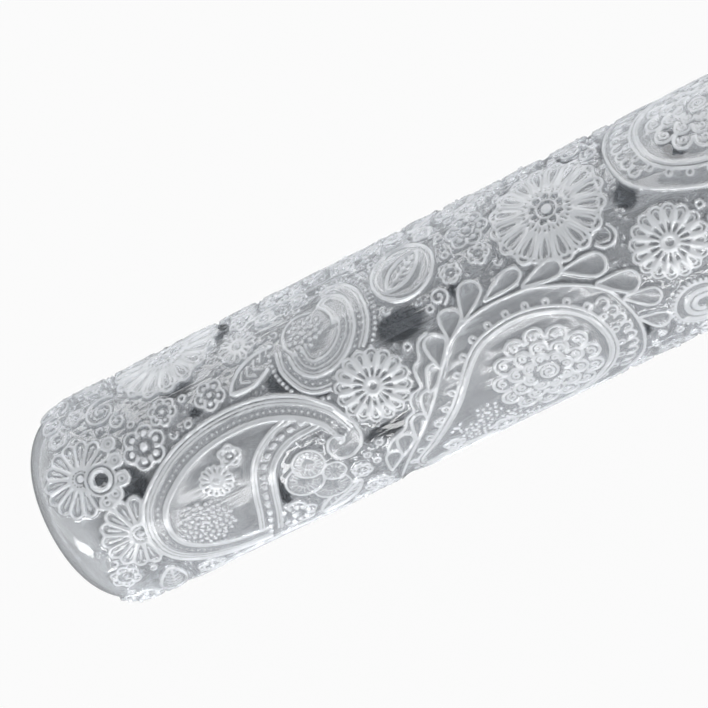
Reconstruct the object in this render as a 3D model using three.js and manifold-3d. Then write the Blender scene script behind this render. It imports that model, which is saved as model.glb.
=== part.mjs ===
// Clay texture roller: one solid bar of clear acrylic with rounded ends. A raised pattern of paisleys, rosettes
// and scrolls covers it, and presses into a sheet of clay when the bar is rolled over it by hand.
// Millimetres. The bar lies on its side along X, and its lowest point is at height 0.

import * as THREE from 'three';
import { mergeVertices } from 'three/addons/utils/BufferGeometryUtils.js';
import Module from 'manifold-3d';

// Bar
const barDiameter = 25; // over the raised pattern
const barLength = 150;
const endRounding = 6.2; // radius of the rounded corner at each end
const barFacets = 26; // twice an odd number, so that the bar lies on the middle of a facet
const roundingSteps = 3;
const frontTilt = THREE.MathUtils.degToRad(60); // how far up the middle of the pattern faces

// Raised pattern
const reliefHeight = 0.6;
const bandHeight = 0.35; // of a paisley's border, under its beads
const footDepth = 0.2; // how far each foot is buried in the bar
const slope = 0.25; // how far each side leans in, so that clay lets go
const lineWidth = 0.9; // across the foot of a line
const beadDiameter = 1.2;
const beadCorners = 4;
const beadPitch = 3.9;

// Motifs
const paisleyLength = 26;
const largePaisleyLength = 34;
const paisleyBorder = 2.4; // width of the band round a paisley
const rosetteDiameter = 8.5;
const daisyDiameter = 9;
const asterDiameter = 12.6;
const peonyDiameter = 12;
const smallFlowerDiameter = 4.8;
const swirlDiameter = 9;
const leafLength = 7;
const leafWidth = 3;
const petalLength = 3.6;
const petalWidth = 2.1;
const petalGap = 0.3; // from a paisley's border to the petals round it

const groundRadius = barDiameter / 2 - reliefHeight;
const girth = Math.PI * barDiameter;
const fullTurn = 2 * Math.PI;

const wasm = await Module();
wasm.setup();

// Flat drawing helpers. Angles run anticlockwise from the direction along the bar.
function polar(radius, angle) {
  return new THREE.Vector2(radius * Math.cos(angle), radius * Math.sin(angle));
}

// A smooth curve through points that are shares of a size
function smooth(shares, size, steps, closed = false) {
  const corners = shares.map(([along, around]) => new THREE.Vector3(along * size, around * size, 0));
  const curve = new THREE.CatmullRomCurve3(corners, closed);
  const points = curve.getSpacedPoints(steps).map((point) => new THREE.Vector2(point.x, point.y));
  return closed ? points.slice(0, -1) : points;
}

// The direction across a path at one of its points, to the left
function leftOf(points, i, closed) {
  const count = points.length;
  const before = points[closed ? (i + count - 1) % count : Math.max(i - 1, 0)];
  const after = points[closed ? (i + 1) % count : Math.min(i + 1, count - 1)];
  return polar(1, after.clone().sub(before).angle() + fullTurn / 4);
}

// A path moved to its left
function beside(points, distance, closed) {
  return points.map((point, i) => point.clone().addScaledVector(leftOf(points, i, closed), distance));
}

// Spots at a steady pitch along a path, each with the path's direction there
function spots(points, pitch) {
  const found = [];
  let toNext = pitch / 2;
  for (let i = 1; i < points.length; i += 1) {
    const step = points[i].clone().sub(points[i - 1]);
    while (toNext < step.length()) {
      const place = points[i - 1].clone().lerp(points[i], toNext / step.length());
      found.push({ place, heading: step.angle() });
      toNext += pitch;
    }
    toNext -= step.length();
  }
  return found;
}

// A shape is rows of corners, each with a flat place and a height. Its last row may close on a tip.
function moved(shape, place, heading) {
  const move = ({ flat, height }) => {
    return { flat: flat.clone().rotateAround(new THREE.Vector2(), heading).add(place), height };
  };
  return {
    ...shape,
    rows: shape.rows.map((row) => row.map(move)),
    tip: shape.tip && move(shape.tip),
  };
}

// A raised line with a sharp crest
function line(points, closed = false) {
  return {
    closed,
    rows: points.map((point, i) => {
      const half = leftOf(points, i, closed).multiplyScalar(lineWidth / 2);
      return [
        { flat: point.clone().add(half), height: -footDepth },
        { flat: point, height: reliefHeight },
        { flat: point.clone().sub(half), height: -footDepth },
      ];
    }),
  };
}

// A raised band with a flat top
function band(points, width, closed = false) {
  return {
    closed,
    rows: points.map((point, i) => {
      const left = leftOf(points, i, closed);
      const foot = left.clone().multiplyScalar(width / 2);
      const edge = left.clone().multiplyScalar(width / 2 - slope);
      return [
        { flat: point.clone().add(foot), height: -footDepth },
        { flat: point.clone().add(edge), height: bandHeight },
        { flat: point.clone().sub(edge), height: bandHeight },
        { flat: point.clone().sub(foot), height: -footDepth },
      ];
    }),
  };
}

// A fluted flower: a round foot, then tiers of petals up to its centre
function flower(radius, petals, tiers, centreHeight) {
  const corners = petals * 2;
  const footRow = Array.from({ length: corners }, (_, i) => {
    return { flat: polar(radius, (i / corners) * fullTurn), height: -footDepth };
  });
  const tierRows = tiers.map(([reachShare, notchShare, heightShare, dipShare]) => {
    return footRow.map(({ flat }, i) => {
      const outward = i % 2 ? notchShare : reachShare;
      return { flat: flat.clone().multiplyScalar(outward), height: reliefHeight * (i % 2 ? dipShare : heightShare) };
    });
  });
  return { rows: [footRow, ...tierRows], tip: { flat: new THREE.Vector2(), height: centreHeight } };
}

// A leaf or petal with a keel: its outline, and a crest part of the way along it
function keeled(outlineShares, crestShare, length, width) {
  const foot = outlineShares.map(([along, around]) => {
    return { flat: new THREE.Vector2(along * length, around * width), height: -footDepth };
  });
  return { rows: [foot], tip: { flat: new THREE.Vector2(crestShare * length, 0), height: reliefHeight } };
}

// A bead: a small faceted point
function bead(height = -footDepth) {
  const foot = Array.from({ length: beadCorners }, (_, i) => {
    return { flat: polar(beadDiameter / 2, (i / beadCorners) * fullTurn), height };
  });
  return { rows: [foot], tip: { flat: new THREE.Vector2(), height: reliefHeight } };
}

// Motifs, each drawn flat round its own centre. A tier's shares are its petals' reach, the reach of the notches
// between them, and the heights of both.
const rosetteTierShares = [[0.94, 0.84, 1, 0.7], [0.24, 0.24, 1, 0.2]];

function rosette() {
  return [flower(rosetteDiameter / 2, 10, rosetteTierShares, reliefHeight)];
}

const daisyTierShares = [[0.92, 0.7, 0.8, 0.15]];

function daisy() {
  return [flower(daisyDiameter / 2, 9, daisyTierShares, reliefHeight)];
}

const asterTierShares = [[0.95, 0.8, 0.7, 0.15], [0.5, 0.42, 1, 0.1]];

function aster() {
  return [flower(asterDiameter / 2, 14, asterTierShares, reliefHeight)];
}

const peonyTierShares = [[0.95, 0.76, 0.9, 0.4], [0.7, 0.64, 0.3, 0.3], [0.56, 0.44, 1, 0.6]];

function peony() {
  return [flower(peonyDiameter / 2, 9, peonyTierShares, reliefHeight)];
}

const smallFlowerTierShares = [[0.88, 0.6, 1, 0.5]];

function smallFlower() {
  return [flower(smallFlowerDiameter / 2, 6, smallFlowerTierShares, reliefHeight / 2)];
}

const swirlTurns = 1.8;
const swirlSteps = 12;
const swirlReachShares = [0.76, 0.14];

function swirl() {
  const radius = swirlDiameter / 2;
  const [outer, inner] = swirlReachShares.map((share) => share * radius);
  const curl = Array.from({ length: swirlSteps + 1 }, (_, i) => {
    return polar(outer + (inner - outer) * (i / swirlSteps), (i / swirlSteps) * swirlTurns * fullTurn);
  });
  const border = Math.round(Math.PI * swirlDiameter / beadPitch);
  const beads = Array.from({ length: border }, (_, i) => moved(bead(), polar(radius, (i / border) * fullTurn), 0));
  return [line(curl), ...beads];
}

const leafShares = [[-0.5, 0], [-0.2, -0.42], [0.2, -0.42], [0.5, 0], [0.2, 0.42], [-0.2, 0.42]];

function leaf() {
  return [keeled(leafShares, 0, leafLength, leafWidth)];
}

// Paisley with a curled tip: its border runs from the foot round the head and over to the curl
const paisleyShares = [
  [-0.05, -0.32], [-0.2, -0.285], [-0.32, -0.22], [-0.4, -0.13], [-0.42, -0.03], [-0.385, 0.09],
  [-0.29, 0.18], [-0.15, 0.255], [0.02, 0.29], [0.2, 0.28], [0.35, 0.22], [0.45, 0.13],
  [0.485, 0.03], [0.43, -0.045],
];
const paisleyBackShares = [[0.39, 0.16], [0.24, 0.145], [0.12, 0.07], [0.06, -0.045], [0.01, -0.18], [-0.05, -0.32]];
const paisleyHeartShares = [-0.2, -0.02];

function paisley() {
  const border = smooth(paisleyShares, paisleyLength, 17);
  const back = smooth(paisleyBackShares, paisleyLength, 5);
  const heart = new THREE.Vector2(...paisleyHeartShares.map((share) => share * paisleyLength));
  return [
    band(border, paisleyBorder),
    band(back, paisleyBorder),
    ...smallFlower().map((shape) => moved(shape, heart, 0)),
    ...beadsOn(border.slice(0, -3)),
  ];
}

// Beads on a border
function beadsOn(points) {
  return spots(points, beadPitch).map(({ place, heading }) => moved(bead(bandHeight / 2), place, heading));
}

// Large paisley round a peony, with petals along its back: its centre is the middle of its head
const largePaisleyShares = [
  [-0.6, -0.33], [-0.53, -0.19], [-0.42, -0.08], [-0.32, 0.02], [-0.22, 0.16], [-0.13, 0.27], [-0.02, 0.31],
  [0.1, 0.305], [0.19, 0.24], [0.26, 0.15], [0.285, 0.045], [0.265, -0.07], [0.19, -0.175], [0.09, -0.245],
  [-0.04, -0.29], [-0.2, -0.275], [-0.36, -0.235], [-0.48, -0.26],
];
const petalledShare = 0.56; // of the border, from the tail
const petalShares = [[-0.5, 0], [-0.05, -0.4], [0.3, -0.42], [0.5, 0], [0.3, 0.42], [-0.05, 0.4]];
const petalCrestShare = 0.15;

function largePaisley() {
  const border = smooth(largePaisleyShares, largePaisleyLength, 23, true);
  return [band(border, paisleyBorder, true), ...peony(), ...beadsOn(border)];
}

function petalledPaisley() {
  const border = smooth(largePaisleyShares, largePaisleyLength, 23, true);
  const backed = border.slice(1, Math.round(border.length * petalledShare));
  const path = beside(backed, (paisleyBorder + petalWidth) / 2 + petalGap, false);
  const petal = keeled(petalShares, petalCrestShare, petalLength, petalWidth);
  const petals = spots(path, petalLength).map(({ place, heading }) => moved(petal, place, heading));
  return [...largePaisley(), ...petals];
}

// The pattern: each motif's place as shares of the bar's length and girth, and its turn as a share of a full turn
const patternShares = [
  [daisy, -0.461, 0.06, 0.02],
  [smallFlower, -0.422, 0.008, 0.1],
  [smallFlower, -0.393, 0.05, 0],
  [daisy, -0.455, -0.074, 0],
  [paisley, -0.343, -0.076, 0],
  [smallFlower, -0.29, -0.12, 0.1],
  [leaf, -0.292, -0.179, 0.08],
  [leaf, -0.435, -0.19, 0.2],
  [rosette, -0.225, -0.022, 0],
  [swirl, -0.24, 0.095, 0],
  [leaf, -0.172, 0.12, 0.1],
  [leaf, -0.3, 0.075, 0.07],
  [petalledPaisley, -0.113, -0.134, 0],
  [aster, -0.063, 0.11, 0],
  [rosette, 0.005, -0.025, 0],
  [swirl, 0.006, -0.14, 0],
  [aster, -0.365, 0.19, 0],
  [smallFlower, -0.27, 0.2, 0],
  [largePaisley, 0.06, 0.16, 0.5],
  [paisley, 0.16, -0.13, 0],
  [leaf, 0.165, 0.03, 0.12],
  [daisy, 0.235, 0.09, 0],
  [rosette, 0.27, -0.03, 0],
  [paisley, 0.37, 0.1, 0.5],
  [rosette, 0.28, 0.2, 0],
  [leaf, 0.355, 0.26, 0],
  [daisy, 0.45, -0.03, 0],
  [aster, 0.36, -0.16, 0],
  [leaf, 0.45, -0.14, 0.25],
  [leaf, 0.295, -0.235, 0.1],
  [daisy, 0.455, 0.24, 0],
  [largePaisley, -0.26, 0.4, 0.5],
  [rosette, -0.45, 0.35, 0],
  [leaf, -0.37, 0.31, 0.15],
  [leaf, -0.45, 0.46, 0.05],
  [paisley, -0.37, -0.33, 0],
  [smallFlower, -0.475, -0.29, 0],
  [rosette, -0.2, -0.322, 0],
  [leaf, -0.24, -0.4, 0.12],
  [paisley, 0.02, 0.4, 0],
  [daisy, -0.1, 0.33, 0],
  [leaf, -0.155, 0.23, 0.2],
  [leaf, 0.15, 0.385, 0.1],
  [rosette, -0.13, -0.35, 0],
  [leaf, -0.065, -0.335, 0.15],
  [aster, 0.025, -0.3, 0],
  [paisley, 0.21, -0.34, 0.5],
  [rosette, 0.21, 0.43, 0],
  [leaf, 0.078, -0.425, 0.1],
  [petalledPaisley, 0.36, 0.42, 0],
  [rosette, 0.42, -0.34, 0],
  [leaf, 0.33, -0.37, 0.2],
];

function pattern() {
  return patternShares.flatMap(([motif, alongShare, aroundShare, turnShare]) => {
    const place = new THREE.Vector2(alongShare * barLength, aroundShare * girth);
    return motif().map((shape) => moved(shape, place, turnShare * fullTurn));
  });
}

// How far in a facet lies from the round that its edges are on, as a share of the radius
function facetShare(angle) {
  const half = fullTurn / barFacets / 2;
  const fromEdge = ((angle % (2 * half)) + 2 * half) % (2 * half);
  return Math.cos(half) / Math.cos(fromEdge - half);
}

// From the flat drawing to the bar: along it, round it on its facets, and out from its smooth ground
function wrap({ flat, height }) {
  const intoEnd = Math.max(Math.abs(flat.x) - (barLength / 2 - endRounding), 0);
  const lean = Math.asin(Math.min(intoEnd / endRounding, 1));
  const angle = frontTilt + flat.y / (barDiameter / 2);
  const round = groundRadius - endRounding * (1 - Math.cos(lean)) + height * Math.cos(lean);
  const radius = round * facetShare(angle);
  const along = flat.x + Math.sign(flat.x) * height * Math.sin(lean);
  return new THREE.Vector3(along, -radius * Math.cos(angle), radius * Math.sin(angle));
}

// Closed skin over a shape's rows of corners
function skin({ rows, closed = false, tip }) {
  const size = rows[0].length;
  const spans = closed ? rows.length : rows.length - 1;
  const last = (rows.length - 1) * size;
  const index = [];
  for (let i = 0; i < spans; i += 1) {
    const here = i * size;
    const next = ((i + 1) % rows.length) * size;
    for (let k = 0; k < size; k += 1) {
      const up = (k + 1) % size;
      index.push(here + k, here + up, next + up, here + k, next + up, next + k);
    }
  }
  for (let k = 1; k < size - 1 && !closed; k += 1) {
    index.push(0, k + 1, k);
    if (!tip) {
      index.push(last, last + k, last + k + 1);
    }
  }
  for (let k = 0; k < size && tip; k += 1) {
    index.push(last + k, last + (k + 1) % size, rows.length * size);
  }
  const corners = tip ? [...rows.flat(), tip] : rows.flat();
  return new THREE.BufferGeometry().setFromPoints(corners.map(wrap)).setIndex(index);
}

// Smooth bar under the pattern: a profile turned about its axis, then laid along X
function smoothBar() {
  const half = barLength / 2;
  const corner = Array.from({ length: roundingSteps + 1 }, (_, i) => {
    const swing = (i / roundingSteps) * (fullTurn / 4);
    return new THREE.Vector2(
      groundRadius - endRounding * (1 - Math.sin(swing)),
      half - endRounding * (1 - Math.cos(swing)),
    );
  });
  const profile = [
    new THREE.Vector2(0, -half),
    ...corner.map((point) => new THREE.Vector2(point.x, -point.y)),
    ...corner.reverse(),
    new THREE.Vector2(0, half),
  ];
  return new THREE.LatheGeometry(profile, barFacets).rotateZ(-fullTurn / 4);
}

// A closed geometry as a solid
function solidOf(geometry) {
  geometry.deleteAttribute('normal');
  geometry.deleteAttribute('uv');
  const merged = mergeVertices(geometry);
  return new wasm.Manifold(new wasm.Mesh({
    numProp: 3,
    vertProperties: new Float32Array(merged.attributes.position.array),
    triVerts: new Uint32Array(merged.index.array),
  }));
}

function geometryOf(solid) {
  const mesh = solid.getMesh();
  const geometry = new THREE.BufferGeometry();
  geometry.setAttribute('position', new THREE.BufferAttribute(mesh.vertProperties, 3));
  geometry.setIndex(new THREE.BufferAttribute(mesh.triVerts, 1));
  return geometry;
}

const bar = pattern().reduce((solid, shape) => solid.add(solidOf(skin(shape))), solidOf(smoothBar()));
const clearAcrylic = new THREE.MeshStandardMaterial({ color: 0xdfe6ea, roughness: 0.08, metalness: 0 });
const roller = new THREE.Mesh(geometryOf(bar), clearAcrylic);
roller.name = 'roller';
roller.geometry.computeBoundingBox();
roller.position.z = -roller.geometry.boundingBox.min.z;

export default new THREE.Group().add(roller);
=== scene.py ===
# %% [markdown]
# # A clay texture roller in clear acrylic
# The roller is one solid bar of clear acrylic with rounded ends. Its raised pattern of paisleys, rosettes
# and scrolls presses into clay as the bar is rolled by hand. The bar is packed as a CAD model already, with
# its true size and its main motifs. This lesson makes the finely patterned bar that is seen, in the same
# place.
#
# ## The frame
# The CAD model's frame says where everything is: the bar lies along X on the table, and the photographed
# side faces -Y and upwards. The bar could be measured by hand, but its box in the frame is exact, so that is
# read.

# %% The frame
import math
import bpy
import numpy as np
from mathutils import Matrix, Vector, kdtree


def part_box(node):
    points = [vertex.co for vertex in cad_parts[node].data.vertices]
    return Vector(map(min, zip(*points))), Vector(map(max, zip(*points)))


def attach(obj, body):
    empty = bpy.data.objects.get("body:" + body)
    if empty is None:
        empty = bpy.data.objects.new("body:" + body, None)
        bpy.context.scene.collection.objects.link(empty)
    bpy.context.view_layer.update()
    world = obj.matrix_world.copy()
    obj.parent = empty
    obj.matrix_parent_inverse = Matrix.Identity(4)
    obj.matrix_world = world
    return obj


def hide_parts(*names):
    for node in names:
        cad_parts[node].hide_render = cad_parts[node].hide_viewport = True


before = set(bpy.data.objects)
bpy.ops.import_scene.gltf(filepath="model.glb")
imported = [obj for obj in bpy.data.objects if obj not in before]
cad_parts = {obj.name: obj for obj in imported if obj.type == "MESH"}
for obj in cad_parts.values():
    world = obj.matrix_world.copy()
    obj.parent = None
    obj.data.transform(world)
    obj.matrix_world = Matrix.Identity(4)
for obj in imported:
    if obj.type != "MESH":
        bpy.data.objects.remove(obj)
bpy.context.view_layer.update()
low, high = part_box("roller")
print("CAD bar, in millimetres:", [round(1000 * side, 2) for side in high - low])

# %% [markdown]
# ## Sizes
# The drawing of the pattern is in millimetres, because its lines are fractions of one. Blender's unit is the
# metre, so the drawing is scaled down once, where it becomes a mesh. The bar's length and the height of its
# axis come from the CAD model. The pattern's radius and the rounding of the ends repeat the values that the
# CAD model was made with, and the ground's radius is about the mean of its 26-sided ground.

# %% Sizes
MM = 0.001
BAR_LENGTH = (high.x - low.x) / MM
AXIS_HEIGHT = (high.z - low.z) / 2 / MM
PATTERN_RADIUS = 12.5       # the flat drawing is wrapped at this radius
GROUND_RADIUS = 11.85       # the smooth surface between the raised lines
END_ROUNDING = 6.2
PLATE_HEIGHT = 0.12         # the frosted plates inside the ornaments
RIDGE_RISE = 2              # a line's height over its plate, as a share of its half breadth
BEAD_RISE = 1.6             # and a bead's
BEAD_LIMIT = 0.5            # no bead is higher over its plate
RELIEF_LIMIT = 0.53         # the tallest part of the pattern, inside the CAD bar all round
FRONT_TILT = math.radians(60)  # how far up the middle of the pattern faces
GIRTH = 2 * math.pi * PATTERN_RADIUS
print("flat sheet, in millimetres:", round(BAR_LENGTH, 1), "by", round(GIRTH, 1))

# %% [markdown]
# ## Node arithmetic
# Geometry and shader nodes do sums with Math nodes, and a page of them is hard to read. A small class wraps
# an output socket, so that Python's own signs add the Math nodes. Any other node comes from one function.

# %% A wire that can be added and multiplied
class Wire:
    """An output socket of a node tree, with Python's arithmetic"""

    def __init__(self, tree, socket):
        self.tree = tree
        self.socket = socket

    def math(self, operation, *others):
        inputs = dict(enumerate((self, *others)))
        return node(self.tree, "ShaderNodeMath", {"operation": operation}, inputs)

    def kept_between(self, lowest, highest):
        return self.math("MAXIMUM", lowest).math("MINIMUM", highest)

    def part(self, axis):
        """One of a vector's three numbers"""
        return node(self.tree, "ShaderNodeSeparateXYZ", {}, {"Vector": self}, axis)

    def __add__(self, other):
        return self.math("ADD", other)

    def __sub__(self, other):
        return self.math("SUBTRACT", other)

    def __rsub__(self, other):
        return (self * -1).math("ADD", other)

    def __mul__(self, other):
        return self.math("MULTIPLY", other)

    __radd__ = __add__
    __rmul__ = __mul__

    def __truediv__(self, other):
        return self.math("DIVIDE", other)

    def __pow__(self, other):
        return self.math("POWER", other)

    def __gt__(self, other):
        return self.math("GREATER_THAN", other)


def node(tree, kind, settings=None, inputs=None, output=0):
    """Adds a node: its settings first, then its sockets' values or links. Gives back one of its outputs."""
    made = tree.nodes.new(kind)
    for name, value in (settings or {}).items():
        setattr(made, name, value)
    for name, value in (inputs or {}).items():
        if isinstance(value, Wire):
            tree.links.new(value.socket, made.inputs[name])
        else:
            made.inputs[name].default_value = value
    return Wire(tree, made.outputs[output]) if len(made.outputs) else None


# %% [markdown]
# ## Drawing lines
# The pattern is drawn flat first, as an engraver would. Points are complex numbers: the real part runs along
# the bar, the imaginary part runs round it, and a turn is a multiplication. A path is a row of such points,
# worked out as an arc, a spiral or a smooth curve through a few corners.

# %% Paths
STEP = 0.2          # from one point of a path to the next
CORNER_STEPS = 12   # points from one corner of a smooth path to the next, before they are spaced evenly


def evenly(path, step, closed=False):
    """The same path with points at a steady step"""
    if closed:
        path = np.append(path, path[0])
    reach = np.concatenate([[0], np.cumsum(abs(np.diff(path)))])
    count = max(int(round(reach[-1] / step)), 3)
    return np.interp(np.linspace(0, reach[-1], count + 1), reach, path)[:count + (not closed)]


def smooth(corners, closed=False):
    """A smooth path through its corners"""
    p = np.asarray(corners, complex)
    if closed:
        p = np.concatenate([p[-1:], p, p[:2]])
    else:
        p = np.concatenate([[2 * p[0] - p[1]], p, [2 * p[-1] - p[-2]]])
    t = np.linspace(0, 1, CORNER_STEPS, endpoint=False)[:, None]
    a, b, c, d = p[:-3], p[1:-2], p[2:-1], p[3:]
    q = (2 * b + (c - a) * t + (2 * a - 5 * b + 4 * c - d) * t ** 2 + (3 * b - a - 3 * c + d) * t ** 3) / 2
    path = q.T.ravel() if closed else np.append(q.T.ravel(), p[-2])
    return evenly(path, STEP, closed)


def circle(radius, step=STEP):
    count = max(int(2 * math.pi * radius / step), 8)
    return radius * np.exp(2j * math.pi * np.arange(count) / count)


def oval(half_length, half_breadth, step=STEP):
    rim = circle(1, step)
    return rim.real * half_length + 1j * rim.imag * half_breadth


def arc(radius, start, end, centre=0):
    """Part of a circle, from one angle to another, in degrees"""
    count = max(int(abs(math.radians(end - start)) * radius / STEP), 5)
    return centre + radius * np.exp(1j * np.radians(np.linspace(start, end, count + 1)))


def spiral(start, end, turns, points):
    """A spiral from one distance to another"""
    share = np.linspace(0, 1, points)
    return (start + (end - start) * share) * np.exp(2j * math.pi * turns * share)


def beside(path, distance, closed=False):
    """A path moved to its left"""
    if closed:
        heading = np.roll(path, -1) - np.roll(path, 1)
    else:
        heading = np.gradient(path)
    return path + 1j * distance * heading / abs(heading)


def spots(path, pitch):
    """Places at a steady pitch along a path, each with the direction of the path there"""
    places = evenly(path, pitch)
    return list(zip(places, np.gradient(places) / abs(np.gradient(places))))


print("points in a circle of 4 mm:", len(circle(4)))

# %% [markdown]
# ## Marks
# A mark is a line, a bead, or a field, which is a low plate. It is kept as its kind, its path, half of its
# breadth, which also sets how far it stands up, and whether its path is closed. An ornament is a list of
# marks, so ornaments are put together with a plus sign, and one function moves and turns them.

# %% Pens
def line(path, breadth, closed=False):
    return [("line", np.asarray(path, complex), breadth, closed)]


def lines_beside(path, distances, closed=False):
    """Lines along a path, each given by its distance from the path and half of its breadth"""
    marks = []
    for distance, breadth in distances:
        marks += line(beside(path, distance, closed), breadth, closed)
    return marks


def field(path):
    """A low frosted plate inside a closed path"""
    return [("field", np.asarray(path, complex), 0.0, True)]


def ring(radius, breadth):
    return line(circle(radius), breadth, True)


def bead(centre, radius):
    return [("bead", np.array([centre], complex), radius, False)]


def pearls(path, pitch, radius):
    """A chain of beads along a path"""
    return [mark for place, _ in spots(path, pitch) for mark in bead(place, radius)]


def moved(marks, place=0, turn=0):
    """Marks at another place. The turn is in degrees."""
    spin = np.exp(1j * math.radians(turn))
    return [(kind, path * spin + place, breadth, closed) for kind, path, breadth, closed in marks]


def around(marks, count, start=0):
    """Marks repeated round a centre"""
    return [mark for i in range(count) for mark in moved(marks, turn=start + 360 * i / count)]


print("beads round a circle of 4 mm:", len(pearls(circle(4), 0.6, 0.2)))

# %% [markdown]
# ## Overlaps
# On the roller, one ornament is often tucked under the next. Each ornament therefore carries masks, the
# outlines of what it covers. Ornaments are laid from the top one down, and a line that runs under a mask is
# cut there.

# %% Masks and cutting
MOST_HIDDEN = 0.4  # a field goes when more than this share of its rim is hidden


def mask(path):
    return [("mask", np.asarray(path, complex), 0.0, True)]


def disc(radius):
    return mask(circle(radius, 0.6))


def inside(points, outline):
    """Which points lie inside an outline"""
    hit = np.zeros(len(points), bool)
    near = (points.real > outline.real.min()) & (points.real < outline.real.max())
    near &= (points.imag > outline.imag.min()) & (points.imag < outline.imag.max())
    if near.any():
        x, y = points[near].real[:, None], points[near].imag[:, None]
        a, b = outline[None], np.roll(outline, -1)[None]
        crosses = (a.imag > y) != (b.imag > y)
        rise = np.where(a.imag == b.imag, 1, b.imag - a.imag)
        hit[near] = (crosses & (x < a.real + (y - a.imag) / rise * (b.real - a.real))).sum(1) % 2 == 1
    return hit


def under(points, outlines):
    """Which points lie under an outline, also across the sheet's joined edges"""
    hit = np.zeros(len(points), bool)
    for outline in outlines:
        for shift in (0, GIRTH * 1j, -GIRTH * 1j):
            hit |= inside(points + shift, outline)
    return hit


def cut(marks, outlines):
    """The marks without what runs under the outlines"""
    kept = []
    for kind, path, breadth, closed in marks:
        hidden = np.zeros(1, bool) if kind == "mask" else under(path, outlines)
        if kind == "field":
            hidden = np.array([hidden.mean() > MOST_HIDDEN])
        if not hidden.any():
            kept.append((kind, path, breadth, closed))
        elif kind == "line" and not hidden.all():
            if closed:
                first = int(np.argmax(hidden))
                path, hidden = np.roll(path, -first), np.roll(hidden, -first)
            edges = np.flatnonzero(np.diff(np.concatenate([[1], hidden, [1]]).astype(int)))
            for start, end in zip(edges[::2], edges[1::2]):
                if end - start > 2:
                    kept.append(("line", path[start:end], breadth, False))
    return kept


def masks(marks):
    return [path for kind, path, _, _ in marks if kind == "mask"]


def stacked(groups):
    """Groups of marks from the top one down, as one ornament"""
    kept = []
    for group in groups:
        kept += cut(group, masks(kept))
    return kept


pair = stacked([disc(2) + ring(2, 0.1), moved(ring(2, 0.1), 3)])
print("marks of two rings, one tucked under the other:", len(pair))

# %% [markdown]
# ## Petals and flowers
# Most of the pattern is one kind of loop, narrow at its foot and round at its end, set round a centre. The
# rosette has sixteen of them, each with a smaller one inside, and their round ends make its scalloped rim.
# The peony has rings of scallops that curl, round a spiral heart. A seeded flower's grains each turn by the
# golden angle, as in a sunflower, which fills a disc evenly.

# %% Petals and flowers
LOOP = np.array([0, 0.22+0.2j, 0.5+0.4j, 0.78+0.5j, 0.95+0.3j, 1,
                 0.95-0.3j, 0.78-0.5j, 0.5-0.4j, 0.22-0.2j])
GOLDEN_ANGLE = 2.39996  # in radians


def loop(start, length, width):
    """A petal's outline, which points along the bar"""
    return smooth(start + LOOP.real * length + 1j * LOOP.imag * width, True)


def petal(start, length, width, breadth):
    outline = loop(start, length, width)
    return line(outline, breadth, True) + field(outline[::2])


def rosette(radius=4.2):
    outer = line(loop(radius * 0.16, radius * 0.82, radius * 0.34), 0.15, True)
    inner = petal(radius * 0.5, radius * 0.38, radius * 0.17, 0.12)
    return ring(radius * 0.14, 0.13) + field(circle(radius * 0.14)) + around(outer + inner, 16)


def long_flower(radius=6.6, petals=16):
    width = 2 * math.pi * radius / petals * 0.72
    outer = petal(radius * 0.28, radius * 0.7, width, 0.17)
    inner = petal(radius * 0.42, radius * 0.46, width * 0.5, 0.13)
    behind = line(arc(width * 0.42, -80, 80, radius * 0.8), 0.14)
    heart = ring(radius * 0.17, 0.15) + bead(0, radius * 0.1)
    heart += around(line(arc(radius * 0.085, -130, 130, radius * 0.24), 0.15), 9)
    return heart + around(outer + inner, petals) + around(behind, petals, 180 / petals)


def daisy(radius=4.5, petals=15):
    width = 2 * math.pi * radius / petals * 0.8
    one = petal(radius * 0.22, radius * 0.76, width, 0.16) + line([radius * 0.45, radius * 0.82], 0.11)
    return bead(0, radius * 0.1) + ring(radius * 0.16, 0.13) + around(one, petals)


def curled_lobe(reach, lobe):
    """A scallop with a small curl inside it"""
    turns = np.linspace(0, 1.3 * 2 * math.pi, 24)
    curl = reach + lobe * (0.6 - 0.06 * turns) * np.exp(1j * (turns - 2))
    return line(arc(lobe, -125, 125, reach), 0.17) + line(curl, 0.13)


def peony(radius=6):
    turns = np.linspace(0, 2.4 * 2 * math.pi, 70)
    heart = line((0.12 + 0.075 * turns) * np.exp(1j * turns), 0.15)
    rings = around(curled_lobe(radius * 0.33, radius * 0.13), 8)
    rings += around(curled_lobe(radius * 0.56, radius * 0.15), 10, 10)
    rings += around(curled_lobe(radius * 0.82, radius * 0.17), 13)
    return heart + rings


def small_flower(radius=2.4, petals=6):
    lobe = radius * 0.78 * math.sin(math.pi / petals)
    one = line(arc(lobe, -130, 130, radius * 0.66), 0.16) + bead(radius * 0.66, lobe * 0.4)
    return bead(0, radius * 0.2) + around(one, petals)


def seeded_flower(radius=3):
    marks = []
    count = int(radius * radius * 7)
    for i in range(count):
        marks += bead(radius * math.sqrt(i / count) * np.exp(GOLDEN_ANGLE * 1j * i), 0.22)
    return marks


def spoked_flower(radius=1.9):
    return bead(0, radius * 0.2) + around(petal(radius * 0.25, radius * 0.75, radius * 0.28, 0.12), 15)


print("marks in a rosette, a long flower and a peony:", len(rosette()), len(long_flower()), len(peony()))

# %% [markdown]
# ## Flowers whose parts overlap
# A pansy has four round lobes with veins, each tucked under the one before. The eye is a ring round a bare
# hollow, with small round petals on one side of it.

# %% Flowers whose parts overlap
def fan_lobe(radius):
    """A round lobe with fine veins"""
    vein = line([radius * 0.35, radius * 0.85], 0.1)
    return ring(radius, 0.14) + field(circle(radius)) + disc(radius) + around(vein, int(9 * radius))


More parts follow.
